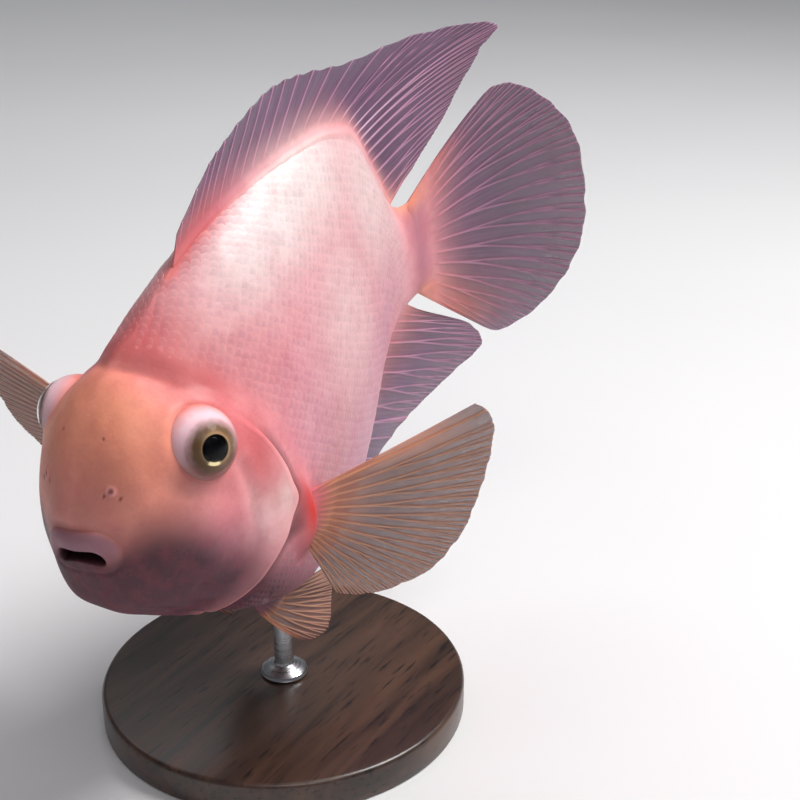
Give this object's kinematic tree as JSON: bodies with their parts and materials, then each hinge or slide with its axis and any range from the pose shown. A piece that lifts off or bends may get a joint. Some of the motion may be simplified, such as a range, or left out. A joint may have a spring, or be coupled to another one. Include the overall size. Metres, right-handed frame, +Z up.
{
  "type": "blood parrot cichlid model on a display stand",
  "caption": "Deep round-bodied aquarium cichlid with bulging eyes, gill covers and spread rayed fins, swimming nose-down, held over a round flat base by a short rod.",
  "frame": {"origin": "centre of the underside of the stand's round base, on the surface it stands on", "axes": "+X from the head to the tail, +Y to the fish's right, +Z up"},
  "size_m": [0.186, 0.1258, 0.1775],
  "materials": {
    "skin_head": "wet",
    "skin_body": "wet",
    "fin": "wet",
    "fin_paired": "wet",
    "eye": "gloss",
    "stand_base": "satin",
    "stand_metal": "brushed"
  },
  "bodies": {
    "root": {"head": "skin_head", "gill_cover_left": "skin_head", "gill_cover_right": "skin_head", "torso": "skin_body", "tail_stalk": "skin_body", "eye_left": "eye", "eye_right": "eye", "dorsal_fin": "fin", "anal_fin": "fin", "tail_fin": "fin", "pectoral_fin_left": "fin_paired", "pectoral_fin_right": "fin_paired", "pelvic_fin_left": "fin_paired", "pelvic_fin_right": "fin_paired", "stand_base": "stand_base", "stand_rod": "stand_metal"}
  },
  "joints": []
}
